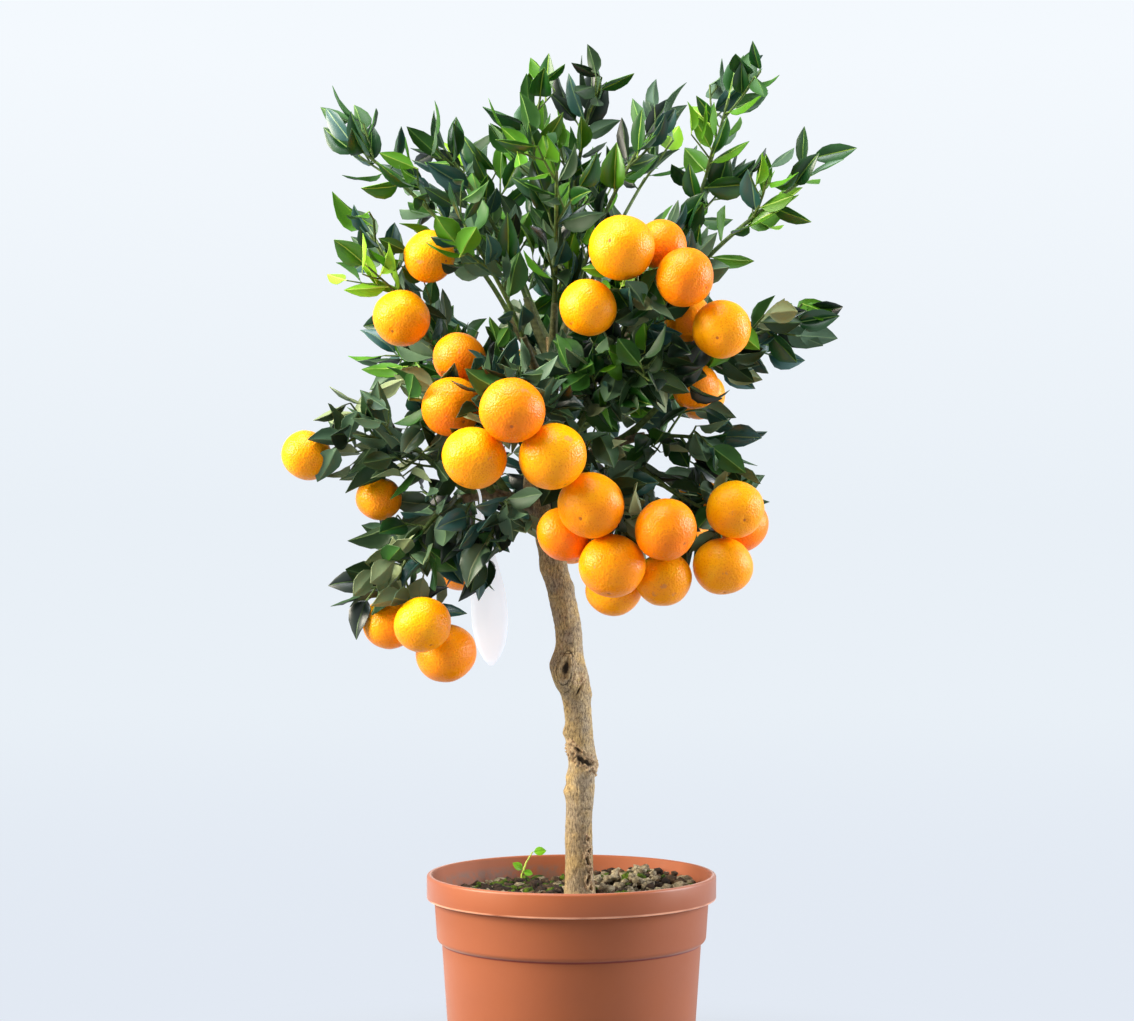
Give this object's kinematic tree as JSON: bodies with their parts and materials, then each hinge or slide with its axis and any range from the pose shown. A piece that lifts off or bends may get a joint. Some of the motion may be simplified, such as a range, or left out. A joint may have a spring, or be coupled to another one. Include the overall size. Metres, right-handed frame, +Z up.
{
  "type": "potted citrus tree",
  "caption": "Small potted citrus tree: bare crooked trunk, open crown of leafy boughs with ripe round fruit, standing in a filled round pot.",
  "frame": {"origin": "centre of the pot's flat underside", "axes": "+Z up from the ground, -Y towards the tree's front, +X to the right when seen from the front"},
  "size_m": [0.4611, 0.3656, 0.894],
  "materials": {
    "terracotta_plastic": "moulded plastic in terracotta colour, softly glossy",
    "potting_soil": "coarse dark potting soil with lumps and a little moss",
    "bark": "grey-tan citrus bark with fine cracks and healed cuts",
    "green_bark": "young green-brown bark",
    "foliage": "glossy dark green leaves with orange fruit"
  },
  "bodies": {
    "root": {"pot": "terracotta_plastic", "soil": "potting_soil", "trunk": "bark", "bough_left_top": "green_bark", "bough_upper_left": "green_bark", "bough_top_right": "green_bark", "bough_front_top": "green_bark", "bough_front_top_left": "green_bark", "bough_right_tall": "green_bark", "bough_right_outer": "green_bark", "bough_front_right": "green_bark", "bough_heart": "green_bark", "bough_right_mid": "green_bark", "bough_right_low": "green_bark", "bough_right_hanging": "green_bark", "bough_front_low": "green_bark", "bough_front_left": "green_bark", "bough_left_front": "green_bark", "bough_left_outer": "green_bark", "bough_left_upper": "green_bark", "bough_left_low": "green_bark", "bough_left_inner": "green_bark", "bough_back_top_left": "green_bark", "bough_back_top_right": "green_bark", "bough_back_left": "green_bark", "bough_back_mid": "green_bark", "bough_back_right": "green_bark", "bough_back_low_left": "green_bark", "bough_back_low": "green_bark", "bough_back_low_right": "green_bark", "bough_top_middle": "green_bark", "foliage_top_centre": "foliage", "foliage_left_top": "foliage", "foliage_upper_left": "foliage", "foliage_top_right": "foliage", "foliage_front_top": "foliage", "foliage_front_top_left": "foliage", "foliage_right_tall": "foliage", "foliage_right_outer": "foliage", "foliage_front_right": "foliage", "foliage_heart": "foliage", "foliage_right_mid": "foliage", "foliage_right_low": "foliage", "foliage_right_hanging": "foliage", "foliage_front_low": "foliage", "foliage_front_left": "foliage", "foliage_left_front": "foliage", "foliage_left_outer": "foliage", "foliage_left_upper": "foliage", "foliage_left_low": "foliage", "foliage_left_inner": "foliage", "foliage_back_top_left": "foliage", "foliage_back_top_right": "foliage", "foliage_back_left": "foliage", "foliage_back_mid": "foliage", "foliage_back_right": "foliage", "foliage_back_low_left": "foliage", "foliage_back_low": "foliage", "foliage_back_low_right": "foliage", "foliage_top_middle": "foliage"}
  },
  "joints": []
}
